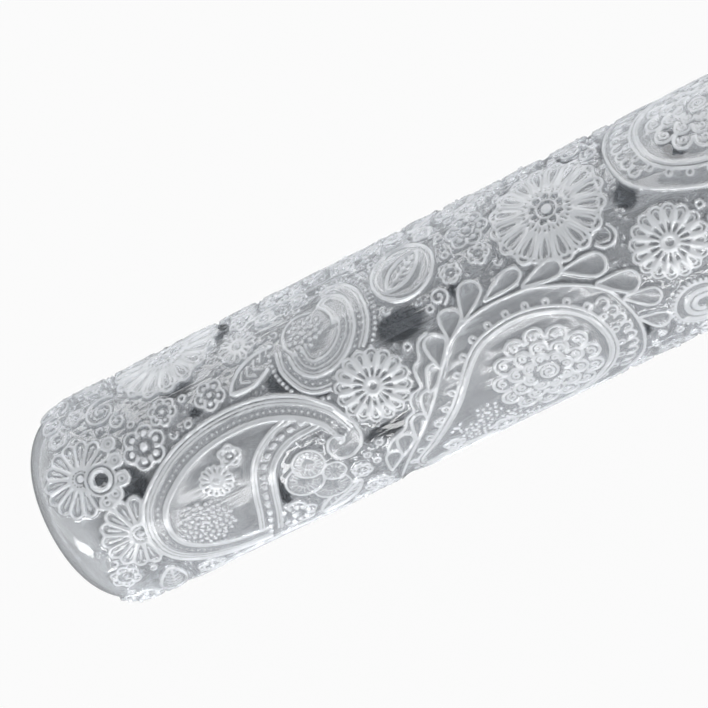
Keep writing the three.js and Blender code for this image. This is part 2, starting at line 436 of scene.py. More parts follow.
def lobed_flower():
    lobes = ((1.1 + 2j, 1.8), (-0.9 + 0.7j, 2.1), (2.1 - 0.9j, 1.3), (0.2 - 2.4j, 2.1))
    return stacked([moved(fan_lobe(radius), place) for place, radius in lobes])


def eye_flower():
    petals = [moved(ring(0.75, 0.18) + ring(0.35, 0.13) + field(circle(0.7)) + disc(0.8), place)
              for place in (2.2 + 3.4j, 2.3 + 1.3j, 2.3 - 0.9j, 0.9 - 2.1j, -0.4 - 2.6j)]
    return stacked([ring(1.15, 0.26) + ring(1.75, 0.16) + disc(1.9), *petals])


print("marks in a lobed flower and an eye:", len(lobed_flower()), len(eye_flower()))

# %% [markdown]
# ## Swirls and leaves
# A scroll is a spiral whose reach shrinks as it turns. On the roller it is a double line inside a ring, with
# a chain of pearls round it. One scroll is a fat comma with a head of grains. Its two sides don't follow a
# simple rule, so they are drawn through a few corners. A leaf has a rib and slanting veins, and a loose petal
# is one loop.

# %% Swirls, leaves and loose petals
COMMA_OUTER = np.array([
    -6.1-0.3j, -6.1-2.9j, -4.6-5.8j, -2.3-6.7j, 0.5-6.2j, 2.9-4.4j, 4.6-1.8j, 4.8+1.1j, 4.2+3.1j, 2.9+4.6j,
    1.6+4.9j, 0.2+4.6j])
COMMA_INNER = np.array([
    -4.9-1.3j, -4.4-3.5j, -2.9-4.8j, -0.6-4.8j, 1.5-3.7j, 3-1.7j, 3.3+0.8j, 2.7+2.7j, 1.2+3.7j, -0.2+3j,
    0.5+2j, 1+0.9j, 0.9-0.2j])


def swirl(radius=3.4):
    marks = []
    for start, breadth in ((0.8, 0.17), (0.71, 0.12)):
        marks += line(radius * spiral(start, start - 0.56, 2.2, 100), breadth)
    return marks + ring(radius * 0.9, 0.15) + pearls(circle(radius * 1.02), 0.62, 0.22)


def comma():
    """A comma with a banded border, a chain of beads and a head of grains"""
    outer, inner = smooth(COMMA_OUTER), smooth(COMMA_INNER)
    marks = line(outer, 0.18) + line(beside(outer, 0.45), 0.12)
    marks += line(inner, 0.16) + line(beside(inner, 0.4), 0.11)
    marks += pearls(beside(outer, 0.95), 0.8, 0.16) + pearls(beside(outer, -0.75), 0.62, 0.22)
    hollow = inner[:len(inner) * 3 // 5]
    marks += lines_beside(hollow, ((0.9, 0.1), (1.7, 0.13), (2.1, 0.1)))
    marks += pearls(beside(hollow, 1.3), 0.5, 0.15)
    marks += moved(seeded_flower(2.1), -2.5 + 0.4j) + line(arc(2.5, 60, 235, -2.5 + 0.4j), 0.15)
    covered = np.concatenate([beside(outer, -1), [-1.5 + 3.5j, -5.6 + 1.6j]])
    body = np.concatenate([beside(outer, -0.1), [-1.5 + 3.5j, -4.4 + 2.6j, -5.6 + 1.2j]])
    return marks + mask(covered[::2]) + field(body[::3])


def leaf(length=7, width=3):
    outline = smooth([-length / 2, -length / 5 - 0.44j * width, length / 5 - 0.42j * width, length / 2,
                      length / 5 + 0.42j * width, -length / 5 + 0.44j * width], True)
    marks = line(outline, 0.2, True) + field(outline) + line([-length / 2, length * 0.42], 0.16)
    for i in range(-2, 3):
        for side in (1, -1):
            foot = i * length * 0.14
            marks += line([foot, foot + length * 0.12 + side * 0.3j * width], 0.12)
    return marks


def round_leaf(radius=3.6):
    """A leaf inside a round frame"""
    return ring(radius, 0.2) + ring(radius * 0.84, 0.12) + moved(leaf(radius * 1.5, radius * 0.75), turn=30)


def drop(tip, end, width):
    """A loose petal from its tip to its round end"""
    length = abs(end - tip)
    marks = petal(0, length, width, 0.16) + mask(loop(0, length, width)[::2])
    return moved(marks, tip, math.degrees(np.angle(end - tip)))


print("marks in a swirl, a comma and a leaf:", len(swirl()), len(comma()), len(leaf()))

# %% [markdown]
# ## The paisley
# A paisley is a border round a curled drop. Its border is a band between double lines, with beads along it,
# so one centre line gives all of them: each line is that path moved sideways. The border's outer line runs on
# into a curl.

# %% The paisley
PAISLEY = 26 * np.array([
    -0.05-0.32j, -0.2-0.285j, -0.32-0.22j, -0.4-0.13j, -0.42-0.03j, -0.385+0.09j, -0.29+0.18j,
    -0.15+0.255j, 0.02+0.29j, 0.2+0.28j, 0.35+0.22j, 0.45+0.13j, 0.485+0.03j])
PAISLEY_BACK = 26 * np.array([
    0.39+0.16j, 0.24+0.145j, 0.12+0.07j, 0.06-0.045j, 0.01-0.18j, -0.05-0.32j])
PAISLEY_CURL = np.array([
    13.94+1.4j, 13.84, 13.14-1.3j, 11.74-2j, 10.34-1.7j, 9.84-0.4j, 10.14+0.6j, 10.94+1.1j,
    11.84+0.8j, 11.9+0.2j, 11.3])


def paisley():
    border, back = smooth(PAISLEY), smooth(PAISLEY_BACK)
    outer = np.concatenate([beside(smooth(PAISLEY[:-1]), 1.4), smooth(PAISLEY_CURL)])
    band = line(evenly(outer, STEP), 0.19)
    band += lines_beside(border, ((0.9, 0.14), (0.5, 0.12), (-0.85, 0.13), (-1.2, 0.16)))
    band += pearls(beside(border, -0.2), 0.7, 0.16)
    band += mask(np.concatenate([beside(border, 1.4), beside(border, -1.3)[::-1]])[::2])
    behind = lines_beside(back, ((1.2, 0.17), (0.8, 0.12), (-0.8, 0.12), (-1.2, 0.16)))
    for place, heading in spots(back, 1.3):
        behind += line([place - 0.3 * heading, place + 0.3 * heading], 0.24)
    behind += moved(spoked_flower(), -2.4 + 2.4j) + moved(seeded_flower(), -5.8 - 1.8j)
    behind += moved(small_flower(1.1, 5), 0.2 + 4.4j)
    covered = np.concatenate([beside(border, 1.6), beside(back, 1.45)])[::3]
    curl = smooth(PAISLEY_CURL[:7])[::2]
    return stacked([band, behind]) + mask(covered) + mask(curl) + field(covered) + field(curl)


print("marks in a paisley:", len(paisley()))

# %% [markdown]
# ## The large paisley
# The large one is wider, with a peony in its head, grains down its tail and small scrolls along its border.
# Loose petals stand round it like a crest, over a scalloped band. On the roller the large paisley covers the
# petals' feet, and each petal covers the one before it, so they are stacked in that order.

# %% The large paisley and its petals
LARGE_OUTER = np.array([
    -20.5-11.2j, -20.9-8j, -19.5-4.5j, -17.5-1.7j, -15+0.9j, -12.5+3.6j, -10.5+6j, -8.9+7.8j, -7.5+9.3j,
    -5.5+10.4j, -3.5+10.9j, -1.5+11.1j, 0.5+11j, 2.5+10.8j, 4.5+10.1j, 6.5+9.2j, 8.5+8j, 9.9+6.5j, 10.6+4.5j,
    10.9+2.5j, 10.8+0.5j, 10.3-1.5j, 9.1-4j, 6-7j, 2.5-8.8j, -1.5-9.9j, -6.5-9.7j, -11.5-8.5j, -16.5-8.7j])
LARGE_INNER = np.array([
    -17.5-3.7j, -15-1.4j, -12.5+0.8j, -10.5+2.6j, -9+4.3j, -7.5+6j, -6+7.4j, -4.5+8.3j, -2.5+8.8j, -0.5+9j,
    1.5+8.8j, 3.5+8.2j, 5.5+7.1j, 7+5.5j, 7.7+3.5j, 7.9+1.5j, 7.4-0.8j, 6-3.1j, 3.5-5.3j, 0-7.1j, -4.5-7.5j,
    -9.5-6.5j, -14-6.1j, -17.5-6.5j])
# round heads full of grains, down the tail: middle, radius
GRAINS = ((-10.2-3.2j, 1.9), (-7.9-1j, 1.6), (-5.9-3.3j, 1.2), (-4.4-5.5j, 1.3), (-11.6-1.2j, 0.9))
# the loose petals: tip, round end, width
DROPS = [
    (-20.5-3.1j, -18.7+0.1j, 1.8), (-18.3-1.3j, -16.5+1.7j, 1.9), (-15.9+0.2j, -13.8+3.3j, 2),
    (-13.6+2.5j, -11.6+5.5j, 2), (-11.9+5.3j, -9.6+7.9j, 1.9), (-9.6+7.3j, -8.6+10.9j, 2.4),
    (-7.3+9.5j, -5.9+12.6j, 2.5), (-5.1+10.8j, -2.6+14.3j, 2.5), (-2.3+11.7j, 2.4+13.1j, 1.9),
    (1.9+11.3j, 6.6+11.7j, 2.1), (6.3+10.9j, 10.9+9.7j, 2.5), (8.9+8.1j, 13.1+6.3j, 2.5),
    (10.7+5.3j, 14.3+3.5j, 2.2), (11.1+2.1j, 13.7-0.1j, 2.2)]
SCALLOPS = np.array([
    -9+11.4j, -10.3+11j, -10.9+10j, -11.1+9.3j, -12+8.7j, -12.3+7.7j, -12.4+6.4j, -13.5+6.1j, -14.2+5.3j,
    -14.4+4.1j, -15.5+3.6j, -16.3+2.5j, -17.9+1.9j, -19.1+0.9j, -19.5-0.1j])


def scrolls(path, pitch, radius, start, breadth):
    """Small open arcs along a path, turned with it"""
    marks = []
    for place, heading in spots(path, pitch):
        marks += moved(line(arc(radius, start, 240), breadth), place, math.degrees(np.angle(heading)))
    return marks


def large_paisley():
    outer, inner = smooth(LARGE_OUTER, True), smooth(LARGE_INNER, True)
    marks = line(outer, 0.17, True)
    marks += lines_beside(inner, ((0, 0.16), (-0.5, 0.16), (-0.85, 0.11)), True)
    marks += scrolls(beside(inner, 0.5, True), 2.2, 0.36, -60, 0.13)
    rim = beside(inner, 1.6, True)
    marks += scrolls(rim[(rim.real > 7) & (rim.imag < 6)], 1.35, 0.6, -40, 0.14)
    for place, radius in GRAINS:
        marks += moved(seeded_flower(radius), place)
    marks += moved(small_flower(1.6, 7), -7.4 - 5.2j) + moved(small_flower(1.1, 5), -13.2 - 4.1j)
    return marks + moved(peony(), 0.9j) + mask(outer[::3]) + field(outer[::3])


def petalled_paisley():
    band = np.concatenate([smooth(SCALLOPS)[::3], [-18.5 - 4j, -12.5 + 3.6j, -8.9 + 7.8j]])
    under_all = line(smooth(SCALLOPS), 0.16) + mask(band) + field(band)
    return stacked([large_paisley(), *(drop(*one) for one in DROPS[::-1]), under_all])


print("marks in a large paisley with its petals:", len(petalled_paisley()))

# %% [markdown]
# ## Laying out the pattern
# The rows give each motif, its place, and its turn where it has one. They are nearly the CAD model's own
# rows, with a few smaller ornaments added. A row hides what lies under it in the rows after it.

# %% Main motifs
MOTIFS = {
    "rosette": rosette() + disc(4.35),
    "aster": long_flower() + disc(6.7),
    "daisy": daisy() + disc(4.6),
    "small": small_flower() + disc(2.5),
    "lobed": lobed_flower(),
    "eye": eye_flower(),
    "comma": comma(),
    "curl": swirl() + disc(3.6) + field(circle(3.4)),
    "round": round_leaf() + disc(3.8) + field(circle(3.6)),
    "drop": drop(-2.5, 2.5, 2.4) + line(loop(-1.7, 3.6, 1.6), 0.12, True),
    "leaf": leaf() + mask(oval(3.5, 1.6, 0.3)),
    "paisley": paisley(),
    "large": large_paisley(),
    "petalled": petalled_paisley(),
}
PATTERN = [
    ("petalled", -17-10.5j), ("paisley", -51.4-6j), ("rosette", -33.8-1.7j), ("rosette", 0.6-1.9j),
    ("large", 9+12.6j, 180), ("comma", -36+6.8j), ("aster", -9.5+7.6j), ("lobed", -44.6-8.9j, 20),
    ("curl", 0.6-10.6j, 200), ("drop", -6.1+2.6j, -39), ("eye", -65.3+2.3j), ("small", -59.4+3.5j, 10),
    ("daisy", -64.2-5.2j), ("daisy", -67.4+3.4j), ("round", -26.2+8.9j, 10), ("leaf", -45+5.9j, 25),
    ("aster", -54.8+14.9j), ("small", -40.5+15.7j), ("small", -49.2-13.2j), ("leaf", -43.8-14.1j, 30),
    ("leaf", -65.3-14.9j, 70), ("paisley", 24-10.2j), ("leaf", 24.8+2.4j, 43), ("daisy", 35.3+7.1j),
    ("rosette", 40.5-2.4j), ("paisley", 55.5+7.9j, 180), ("rosette", 42+15.7j), ("leaf", 53.3+20.4j),
    ("daisy", 67.5-2.4j), ("aster", 54-12.6j), ("leaf", 67.5-11j, 90), ("leaf", 44.3-18.5j, 36),
    ("daisy", 68.3+18.8j), ("large", -39+31.4j, 180), ("rosette", -67.5+27.5j), ("leaf", -55.5+24.3j, 54),
    ("leaf", -67.5+36.1j, 18), ("paisley", -55.5-25.9j), ("small", -71.3-22.8j), ("rosette", -30-25.3j),
    ("leaf", -36-31.4j, 43), ("paisley", 3+31.4j), ("daisy", -15+25.9j), ("leaf", -23.3+18.1j, 72),
    ("leaf", 22.5+30.2j, 36), ("rosette", -19.5-27.5j), ("leaf", -9.8-26.3j, 54), ("aster", 3.8-23.6j),
    ("paisley", 31.5-26.7j, 180), ("rosette", 31.5+33.8j), ("leaf", 11.7-33.4j, 36), ("petalled", 54+33j),
    ("rosette", 63-26.7j), ("leaf", 49.5-29.1j, 72),
]
sheet, outlines = [], []
for motif, place, *turn in PATTERN:
    marks = cut(moved(MOTIFS[motif], place, *turn), outlines)
    sheet += [mark for mark in marks if mark[0] != "mask"]
    outlines += masks(marks)
print("main marks:", len(sheet))

# %% [markdown]
# ## Filling the free places
# On the real roller, small flowers, curls and beads fill what the main motifs leave free. Placing hundreds by
# hand would take long, so they are thrown at random from a fixed seed, the largest first. A place is kept
# when a disc of its size touches nothing. A few places stay bare, because the photograph shows smooth plastic
# there, and most of these are windows, where the clear plastic is painted dark, as painted shade for the dark
# that it shows.

# %% Small ornaments in the free places
# ovals on the flat sheet, left bare and painted dark as shade: middle, half length, half breadth
DARK_PAINTED_WINDOWS = [
    (-65.3+2.3j, 1, 1), (-62.5+0.1j, 2.1, 2.3), (-54+8j, 1.8, 1.2), (-52.6+4.5j, 0.9, 0.6),
    (-48.4+14.5j, 1.2, 2.5), (-48.6-8j, 0.8, 3.2), (-35-7.2j, 2.6, 1), (-28.4+3j, 2.9, 1.9),
    (-21.6+3.8j, 0.8, 0.8), (-6-9.8j, 0.6, 1.8), (-1.5+4.8j, 1.3, 1.7), (3.6+8.8j, 0.6, 2.3),
    (-42.9+3.2j, 1.4, 1.6), (-40.7+2.3j, 1.5, 1.1), (-38.9+0.2j, 0.9, 0.7), (-6.5+14j, 1.4, 1.3),
    (-2.1+11.6j, 0.8, 1)]
BARE = [(-69.2-2.2j, 1.5, 1.9), (1+4.8j, 4.2, 2.2), (-58.2+7.4j, 2.2, 1.2)]
THROW = 70              # ornaments land up to this far from the bar's middle
LINE_GAP = 0.25         # between an ornament and the nearest line
NEIGHBOUR_GAP = 0.2     # between two of them
MARGIN = 4              # lines this far past the sheet's edges still count
for place, half_length, half_breadth in DARK_PAINTED_WINDOWS + BARE:
    outlines.append(place + oval(half_length, half_breadth))

rng = np.random.default_rng(7)


def free_places(radius, tries):
    """Places at random where a disc of this radius touches nothing"""
    points = np.concatenate([path for _, path, _, _ in sheet])
    points = np.concatenate([points, points + GIRTH * 1j, points - GIRTH * 1j])
    points = points[abs(points.imag) < GIRTH / 2 + MARGIN]
    tree = kdtree.KDTree(len(points))
    for i, point in enumerate(points):
        tree.insert((point.real, point.imag, 0), i)
    tree.balance()
    tried = rng.uniform(-THROW, THROW, tries) + 1j * rng.uniform(-GIRTH / 2, GIRTH / 2, tries)
    found = []
    for spot in tried[~under(tried, outlines)]:
        clear_of_lines = tree.find((spot.real, spot.imag, 0))[2] > radius + LINE_GAP
        if clear_of_lines and all(abs(spot - other) > 2 * radius + NEIGHBOUR_GAP for other in found):
            found.append(spot)
    return found


def tendril(radius):
    return line(radius * spiral(1, 0.2, 1.5, 40), 0.17) + bead(0, radius * 0.16)


# radius, throws, and the ornaments that take turns
ROUNDS = [
    (2.3, 2500, (small_flower(2.3, 6), tendril(2.3), spoked_flower(2.3))),
    (1.6, 4000, (small_flower(1.6, 6), tendril(1.6), small_flower(1.6, 5))),
    (1.1, 6000, (small_flower(1.1, 6), tendril(1.1), small_flower(1.1, 5))),
    (0.6, 9000, (around(bead(0.34, 0.2), 3), line(arc(0.4, -130, 130), 0.15), ring(0.4, 0.15))),
    (0.3, 12000, (bead(0, 0.18),)),
]
for radius, tries, ornaments in ROUNDS:
    places = free_places(radius, tries)
    for i, place in enumerate(places):
        sheet += moved(ornaments[i % len(ornaments)], place, rng.uniform(0, 360))
    print("ornaments of radius", radius, "mm:", len(places))

# %% [markdown]
# ## From the drawing to a mesh
# The drawing becomes one mesh: its lines are chains of edges, its beads are single points and its plates are
# faces. The breadth of each mark is stored on its points, and three more attributes tell the kinds apart.

# %% The drawing as a mesh
points, edges, plates, breadths, kinds = [], [], [], [], []
for kind, path, breadth, closed in sheet:
    first = len(points)
    points.extend(path)
    breadths.extend([breadth] * len(path))
    kinds.extend([kind] * len(path))
    if kind == "field":
        plates.append(range(first, first + len(path)))
    if kind == "line":
        edges.extend((first + i, first + i + 1) for i in range(len(path) - 1))
        if closed:
            edges.append((first + len(path) - 1, first))
drawing = bpy.data.meshes.new("flat_drawing")
drawing.from_pydata([(p.real * MM, p.imag * MM, 0) for p in points], edges, plates)
drawing.attributes.new("breadth", "FLOAT", "POINT").data.foreach_set("value", np.array(breadths) * MM)
for kind in ("line", "bead", "field"):
    flags = [kind == other for other in kinds]
    drawing.attributes.new(kind, "BOOLEAN", "POINT").data.foreach_set("value", flags)
print("points drawn:", len(points))

# %% [markdown]
# ## The tree's inputs
# One geometry node tree turns the drawing into the bar. Its sizes are named inputs, so that each can be
# changed on the modifier.

# %% The tree's inputs
tree = bpy.data.node_groups.new("patterned_bar", "GeometryNodeTree")
tree.interface.new_socket("Drawing", in_out="INPUT", socket_type="NodeSocketGeometry")
SIZES = {
    "Bar length": BAR_LENGTH * MM,
    "Ground radius": GROUND_RADIUS * MM,
    "Wrapping radius": PATTERN_RADIUS * MM,
    "End rounding": END_ROUNDING * MM,
    "Relief limit": RELIEF_LIMIT * MM,
    "Plate height": PLATE_HEIGHT * MM,
    "Axis height": AXIS_HEIGHT * MM,
    "Front tilt": FRONT_TILT,
}
COUNTS = {
    "Steps along": 1400,
    "Steps round": 660,
}
for name in SIZES:
    tree.interface.new_socket(name, in_out="INPUT", socket_type="NodeSocketFloat")
for name in COUNTS:
    tree.interface.new_socket(name, in_out="INPUT", socket_type="NodeSocketInt")
tree.interface.new_socket("Finish", in_out="INPUT", socket_type="NodeSocketMaterial")
tree.interface.new_socket("Bar", in_out="OUTPUT", socket_type="NodeSocketGeometry")
given = tree.nodes.new("NodeGroupInput")
wire = {socket.name: Wire(tree, socket) for socket in given.outputs if socket.name}


def named(name, kind="FLOAT"):
    return node(tree, "GeometryNodeInputNamedAttribute", {"data_type": kind}, {"Name": name})


def xyz(x=0.0, y=0.0, z=0.0):
    return node(tree, "ShaderNodeCombineXYZ", {}, {"X": x, "Y": y, "Z": z})


def together(*parts):
    """Several geometries as one"""
    joined = node(tree, "GeometryNodeJoinGeometry")
    for part in parts:
        tree.links.new(part.socket, joined.socket.node.inputs["Geometry"])
    return joined


print("inputs of the tree:", ", ".join(wire))

# %% [markdown]
# ## From the drawing to a stamp
# The tree sweeps a round wire along every line and sets a dome on every bead. Together with the plates they
# are raised by a plate's height, which makes a flat stamp, like filigree. It is repeated once on each side of
# the sheet, so that the pattern runs on across the line where the sheet's edges meet.

# %% The stamp
def drawn(kind):
    return node(tree, "GeometryNodeSeparateGeometry", {"domain": "POINT"},
                {"Geometry": wire["Drawing"], "Selection": named(kind, "BOOLEAN")})


section = node(tree, "GeometryNodeCurvePrimitiveCircle", {"mode": "RADIUS"}, {
    "Resolution": 10, "Radius": 1.0})
wires = node(tree, "GeometryNodeCurveToMesh", {}, {
    "Curve": node(tree, "GeometryNodeMeshToCurve", {}, {"Mesh": drawn("line")}),
    "Profile Curve": section, "Scale": named("breadth")})
ridges = node(tree, "GeometryNodeTransform", {}, {"Geometry": wires, "Scale": (1, 1, RIDGE_RISE)})
breadth = named("breadth")
dome = node(tree, "GeometryNodeMeshUVSphere", {}, {"Segments": 12, "Rings": 7, "Radius": 1.0})
domes = node(tree, "GeometryNodeInstanceOnPoints", {}, {
    "Points": drawn("bead"), "Instance": dome,
    "Scale": xyz(breadth, breadth, (breadth * BEAD_RISE).math("MINIMUM", BEAD_LIMIT * MM))})
stamp = node(tree, "GeometryNodeTransform", {}, {
    "Geometry": together(ridges, domes, drawn("field")), "Translation": xyz(z=wire["Plate height"])})
girth = wire["Wrapping radius"] * (2 * math.pi)
copies = node(tree, "GeometryNodeMeshLine", {}, {
    "Count": 3, "Start Location": xyz(y=girth * -1), "Offset": xyz(y=girth)})
stamps = node(tree, "GeometryNodeRealizeInstances", {}, {
    "Geometry": node(tree, "GeometryNodeInstanceOnPoints", {}, {"Points": copies, "Instance": stamp})})
print("nodes so far:", len(tree.nodes))

# %% [markdown]
# ## The bar's profile
# The bar's skin starts as a fine flat grid. From the middle outwards, each of its points runs straight along
# the bar, then round the corner, then in across the end. Two numbers say where it is: how far along the axis,
# and how far out from it.

# %% The profile
straight = wire["Bar length"] / 2 - wire["End rounding"]
corner = wire["End rounding"] * (math.pi / 2)
end_radius = wire["Ground radius"] - wire["End rounding"]
half_run = straight + corner + end_radius
grid = node(tree, "GeometryNodeMeshGrid", {}, {
    "Size X": half_run * 2, "Size Y": girth,
    "Vertices X": wire["Steps along"], "Vertices Y": wire["Steps round"]})
position = node(tree, "GeometryNodeInputPosition")
along, across = position.part("X"), position.part("Y")
run = along.math("ABSOLUTE")
sign = along.math("SIGN")
lean = ((run - straight) / wire["End rounding"]).kept_between(0.0, math.pi / 2)
inward = (run - straight - corner).math("MAXIMUM", 0.0)
axial = run.math("MINIMUM", straight) + wire["End rounding"] * lean.math("SINE")
radius = wire["Ground radius"] - wire["End rounding"] * (1 - lean.math("COSINE")) - inward
print("nodes so far:", len(tree.nodes))

# %% [markdown]
# ## Pressing the stamp into the bar
# A ray looks down from above each point of the grid and finds how high the stamp stands there. A light blur
# rounds the steps. The grid's first and last rows meet once it is wrapped, so both look down at the same
# places, and they are left out of the blur, which would move them apart. The heights could come from a
# picture, but rays on real shapes stay sharp at any size.

# %% Pressing
RAY_START = 0.01        # metres over the sheet, above every part of the stamp
TOUCHING = 0.000001     # metres: points this close are one
on_seam = across.math("ABSOLUTE") > girth / 2 - TOUCHING
in_last_row = across > girth / 2 - TOUCHING
ray = node(tree, "GeometryNodeRaycast", {"data_type": "FLOAT"}, {
    "Target Geometry": stamps, "Source Position": xyz(axial * sign, across - girth * in_last_row, RAY_START),
    "Ray Direction": (0, 0, -1), "Ray Length": RAY_START}, "Hit Distance")
is_hit = Wire(tree, ray.socket.node.outputs["Is Hit"])
height = ((RAY_START - ray) * is_hit).kept_between(0.0, wire["Relief limit"])
raised = node(tree, "GeometryNodeStoreNamedAttribute", {"data_type": "FLOAT", "domain": "POINT"}, {
    "Geometry": grid, "Name": "relief", "Value": height})
unblurred = named("relief")
blurred = node(tree, "GeometryNodeBlurAttribute", {"data_type": "FLOAT"}, {
    "Value": unblurred, "Iterations": 1})
relief = blurred + (unblurred - blurred) * on_seam
print("nodes so far:", len(tree.nodes))

# %% [markdown]
# ## Wrapping it round the axis
# Each point is turned round the bar's axis by its place across the sheet, and moved out by its height.
# Merging the points that touch closes the skin: the first and last rows become one, and the middle of each
# end becomes one point. The tree ends in real geometry with its material.

# %% Wrapping
angle = wire["Front tilt"] + across / wire["Wrapping radius"]
reach = radius + relief * lean.math("COSINE")
wrapped = node(tree, "GeometryNodeSetPosition", {}, {"Geometry": raised, "Position": xyz(
    (axial + relief * lean.math("SINE")) * sign,
    reach * angle.math("COSINE") * -1,
    wire["Axis height"] + reach * angle.math("SINE"))})
joined = node(tree, "GeometryNodeMergeByDistance", {}, {"Geometry": wrapped, "Distance": TOUCHING})
solid = node(tree, "GeometryNodeRealizeInstances", {}, {"Geometry": joined})
finished = node(tree, "GeometryNodeSetMaterial", {}, {"Geometry": solid, "Material": wire["Finish"]})
tree.links.new(finished.socket, tree.nodes.new("NodeGroupOutput").inputs["Bar"])
print("nodes in the tree:", len(tree.nodes))

# %% [markdown]
# ## From the modifier to a mesh
# The tree runs as a modifier on the drawing. Its inputs are set by their identifiers before it first runs,
# and its result is then copied as a plain mesh, because the frame wants finished meshes.

# %% Making the bar's mesh
def new_object(name, data):
    made = bpy.data.objects.new(name, data)
    bpy.context.scene.collection.objects.link(made)
    return made


def applied(obj, name):
    """The object's evaluated mesh as a new object, without modifiers"""
    depsgraph = bpy.context.evaluated_depsgraph_get()
    mesh = bpy.data.meshes.new_from_object(obj.evaluated_get(depsgraph), depsgraph=depsgraph)
    result = new_object(name, mesh)
    bpy.data.objects.remove(obj)
    return result


acrylic = bpy.data.materials.new("clear_acrylic")
press = new_object("press", drawing)
modifier = press.modifiers.new("patterned_bar", "NODES")
modifier.node_group = tree
values = {**SIZES, **COUNTS, "Finish": acrylic}
for item in tree.interface.items_tree:
    if item.in_out == "INPUT" and item.name in values:
        modifier[item.identifier] = values[item.name]
bar = applied(press, "pressed_bar")
print("fine mesh:", len(bar.data.vertices), "points")

# %% [markdown]
# ## Thinning the mesh
# The pressed grid has nearly a million faces, most of them on smooth places that need few. The Decimate
# modifier removes points where the surface is plain and keeps them along the raised lines. The side that is
# seen closest keeps more, so front and back are thinned one after the other.

# %% Thinning
TRIANGLES = 196000      # about what is left
FRONT_SHARE = 0.56      # of these, for the photographed side
FRONT_END = 17          # which ends this far past the bar's middle
FRONT_HALF_TURN = math.radians(100)  # and goes this far round, each way


def thinned(obj, name):
    points = np.empty(len(obj.data.vertices) * 3)
    obj.data.vertices.foreach_get("co", points)
    x, y, z = points.reshape(-1, 3).T / MM
    spin = np.arctan2(z - AXIS_HEIGHT, -y) - FRONT_TILT
    spin = (spin + math.pi) % (2 * math.pi) - math.pi
    front = (x < FRONT_END) & (abs(spin) < FRONT_HALF_TURN)
    total = len(obj.data.polygons) * 2
    after_back = total * front.mean() + TRIANGLES * (1 - FRONT_SHARE)
    steps = (("back", ~front, after_back / total), ("front", front, TRIANGLES / after_back))
    for label, part, ratio in steps:
        group = obj.vertex_groups.new(name=label)
        group.add(np.flatnonzero(part).tolist(), 1.0, "REPLACE")
        thinner = obj.modifiers.new("thin_" + label, "DECIMATE")
        thinner.vertex_group = label
        thinner.ratio = ratio
    return applied(obj, name)


bar = thinned(bar, "thinned_bar")
bar.name = bar.data.name = "acrylic_bar"
bar.data.polygons.foreach_set("use_smooth", np.ones(len(bar.data.polygons), bool))
triangles = sum(len(face.vertices) - 2 for face in bar.data.polygons)
print("bar's triangles:", triangles)

# %% [markdown]
# ## Lines, plates and ground
# Clear lines on clear ground would hardly be seen, so the material has to know where it is. The height over
# the ground, worked out from the Object coordinates, tells lines, plates and ground apart. The windows, where
# shade is painted dark, are ovals on the same flat sheet as the drawing, found by unwrapping the coordinates.

# %% Where the acrylic is clear or frosted
PLATE_BLEND = PLATE_HEIGHT * 0.8  # a plate is fully satin from this height over the ground
RIDGE_BLEND = 0.15      # and a line is fully frosted from this height over the plates
END_BLEND = 6           # the plain end turns milky over this length
SOFT_EDGE = 0.4         # of a window, as a share of its half breadth
# painted shade like the windows: a dark clear spot inside an ornament
DARK_PAINTED_PLATES = [(5+7.8j, 1.2, 2.5)]  # like the windows, but inside an ornament


def emptied(owner):
    """The node tree of a material or a world, without the nodes that it starts with"""
    owner.use_nodes = True
    owner.node_tree.nodes.clear()
    return owner.node_tree


shader = emptied(acrylic)
where = node(shader, "ShaderNodeTexCoord", {}, {}, "Object")
past_straight = where.part("X").math("ABSOLUTE") - (BAR_LENGTH / 2 - END_ROUNDING) * MM
y = where.part("Y")
z = where.part("Z") - AXIS_HEIGHT * MM
out_from_core = (y * y + z * z).math("SQRT") - (GROUND_RADIUS - END_ROUNDING) * MM
out_x = past_straight.math("MAXIMUM", 0.0)
out_r = out_from_core.math("MAXIMUM", 0.0)
above_ground = (out_x * out_x + out_r * out_r).math("SQRT") - END_ROUNDING * MM
on_plate = (above_ground / (PLATE_BLEND * MM)).kept_between(0.0, 1.0)
on_ridge = ((above_ground / MM - PLATE_HEIGHT) / RIDGE_BLEND).kept_between(0.0, 1.0)
near_end = ((past_straight / MM + END_BLEND / 2) / END_BLEND).kept_between(0.0, 1.0)
flat = node(shader, "ShaderNodeCombineXYZ", {}, {
    "X": where.part("X") / MM, "Y": (z.math("ARCTAN2", y * -1) - FRONT_TILT) * PATTERN_RADIUS})


def vector_math(operation, first, second):
    return node(shader, "ShaderNodeVectorMath", {"operation": operation}, {0: first, 1: second})


def within(ovals):
    """1 inside any of the ovals, with a soft edge, and 0 elsewhere"""
    nearest = 9  # far outside all of them
    for place, half_length, half_breadth in ovals:
        offset = vector_math("SUBTRACT", flat, (place.real, place.imag, 0))
        scaled = vector_math("MULTIPLY", offset, (1 / half_length, 1 / half_breadth, 0))
        reach = node(shader, "ShaderNodeVectorMath", {"operation": "LENGTH"}, {0: scaled}, "Value")
        nearest = reach.math("MINIMUM", nearest)
    return ((1 + SOFT_EDGE / 2 - nearest) / SOFT_EDGE).kept_between(0.0, 1.0)


print("shader nodes so far:", len(shader.nodes))

# %% [markdown]
# ## Clear acrylic
# Acrylic bends light a little less than glass, with an index of 1.49. On the real roller the lines are finely
# frosted, so they scatter light and read as white. The plates inside the ornaments are satin, the ground is
# slightly misty, and the plain ends are milkier. The windows are clear acrylic with a dark colour, which is
# painted shade for the dark that clear spots show. Each finish is its own shader, and Mix Shader nodes choose
# between them.

# %% Acrylic
def plastic(colour, roughness, transmission):
    return node(shader, "ShaderNodeBsdfPrincipled", {}, {
        "Base Color": (*colour, 1), "Roughness": roughness, "IOR": 1.49, "Transmission Weight": transmission})


def mix(share, first, second):
    return node(first.tree, "ShaderNodeMixShader", {}, {0: share, 1: first, 2: second})
